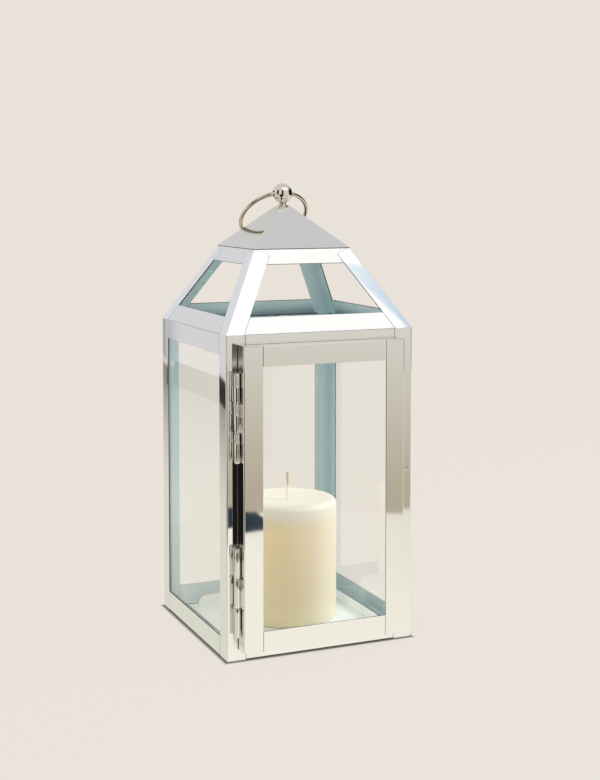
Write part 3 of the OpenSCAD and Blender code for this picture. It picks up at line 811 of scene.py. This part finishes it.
# low card at the left rear, a black cloth at its foot and the floor before it: the left side
card("card_left", [(-0.735, 1.0, 0.0), (-0.735, 2.8, 0.0), (-0.735, 2.8, 0.6), (-0.735, 1.0, 0.6)],
     (0.76, 0.75, 0.79), (0.45, 0.45, 0.46), "Y", (1.98, 2.10))
card("cloth_left",
     [(-0.733, 1.1, 0.002), (-0.60, 1.1, 0.002), (-0.60, 1.63, 0.002), (-0.733, 2.02, 0.002)],
     (0.030, 0.029, 0.028))
card("floor_left",
     [(-0.70, -0.10, 0.001), (-0.0955, -0.10, 0.001), (-0.0955, 2.3, 0.001), (-0.70, 2.3, 0.001)],
     (0.32, 0.32, 0.28), (0.80, 0.80, 0.70), "X", (-0.62, -0.28))
# tan card low in front, a navy cloth at its foot and the bright floor before it: the front
card("card_front", [(-0.1, -0.763, 0.0), (0.6, -0.450, 0.0), (0.6, -0.450, 0.9), (-0.1, -0.763, 0.9)],
     (0.54, 0.48, 0.37), (0.82, 0.80, 0.745), "Z", (0.03, 0.27))
card("cloth_front",
     [(0.06, -0.689, 0.002), (0.143, -0.652, 0.002), (0.143, -0.558, 0.002), (0.06, -0.558, 0.002)],
     (0.030, 0.048, 0.068))
card("floor_front",
     [(-0.1, -0.762, 0.001), (0.6, -0.449, 0.001), (0.6, -0.0955, 0.001), (-0.1, -0.0955, 0.001)],
     (1.05, 1.03, 0.93), (0.92, 0.89, 0.79), "X", (0.05, 0.35))
# bluish strip under the soft box: the streak down the right hip
card("strip_blue",
     [(0.512, -0.60, 1.24), (0.700, -0.75, 1.24), (0.77, -0.75, 1.24), (0.62, -0.60, 1.24)],
     (0.88, 0.96, 1.0), (0.58, 0.72, 0.84), "X", (0.54, 0.68))
# dark flags and cloths out of the flat faces' sight: contrast in the folds, the door's side,
# the hinge barrels, the ball and the ring
card("flag_right", [(2.0, -2.0, 0.0), (2.0, 1.2, 0.0), (2.0, 1.2, 2.4), (2.0, -2.0, 2.4)],
     (0.01, 0.01, 0.01), (0.62, 0.60, 0.56), "Z", (1.25, 2.2))
card("flag_left", [(-2.0, -0.9, 0.0), (-2.0, 0.0, 0.0), (-2.0, 0.0, 1.9), (-2.0, -0.9, 1.9)],
     (0.02, 0.02, 0.02))
card("flag_camera",
     [(-0.90, -1.50, 0.14), (-0.32, -1.74, 0.14), (-0.32, -1.74, 2.2), (-0.90, -1.50, 2.2)],
     (0.012, 0.011, 0.010))
card("cloth_near",
     [(-0.14, -0.49, 0.003), (-0.42, -2.15, 0.003), (-1.05, -2.0, 0.003), (-1.90, -1.1, 0.003),
      (-0.62, -0.35, 0.003)],
     (0.012, 0.011, 0.009))
card("card_door_side",
     [(-0.60, -2.17, 0.0), (-1.60, -2.17, 0.0), (-1.60, -2.17, 0.45), (-0.60, -2.17, 0.45)],
     (0.13, 0.125, 0.11))


def soft_light(name, place, aim, size, watts, colour):
    lamp = bpy.data.lights.new(name, "AREA")
    lamp.shape = "SQUARE"
    lamp.size = size
    lamp.energy = watts
    lamp.color = colour
    o = bpy.data.objects.new(name, lamp)
    o.location = place
    o.rotation_euler = (Vector(aim) - Vector(place)).to_track_quat("-Z", "Y").to_euler()
    bpy.context.collection.objects.link(o)
    o.visible_camera = o.visible_glossy = False


soft_light("key", (1.3, -0.5, 1.3), (0, 0, 0.12), 0.9, 24.0, (1.0, 0.98, 0.95))
soft_light("fill", (-1.2, -1.3, 1.5), (0, 0, 0.15), 1.2, 13.0, (1.0, 0.975, 0.95))

world = bpy.data.worlds.new("studio_air")
world.use_nodes = True
air = world.node_tree.nodes["Background"]
air.inputs["Color"].default_value = (*pale, 1)
air.inputs["Strength"].default_value = 0.5
scene = bpy.context.scene
scene.world = world
scene.view_settings.view_transform = "Standard"
scene.view_settings.look = "None"
eye = bpy.data.cameras.new("eye")
eye.lens = 63.259
eye.sensor_width = 36
eye.shift_y = -0.15
eye.clip_start, eye.clip_end = 0.01, 30
camera = bpy.data.objects.new("eye", eye)
camera.location = (-0.52160, -1.25543, 0.43550)
yaw, pitch = 0.406495, 0.061852
gaze = Vector((math.sin(yaw) * math.cos(pitch), math.cos(yaw) * math.cos(pitch), -math.sin(pitch)))
camera.rotation_euler = gaze.to_track_quat("-Z", "Y").to_euler()
bpy.context.collection.objects.link(camera)
scene.camera = camera
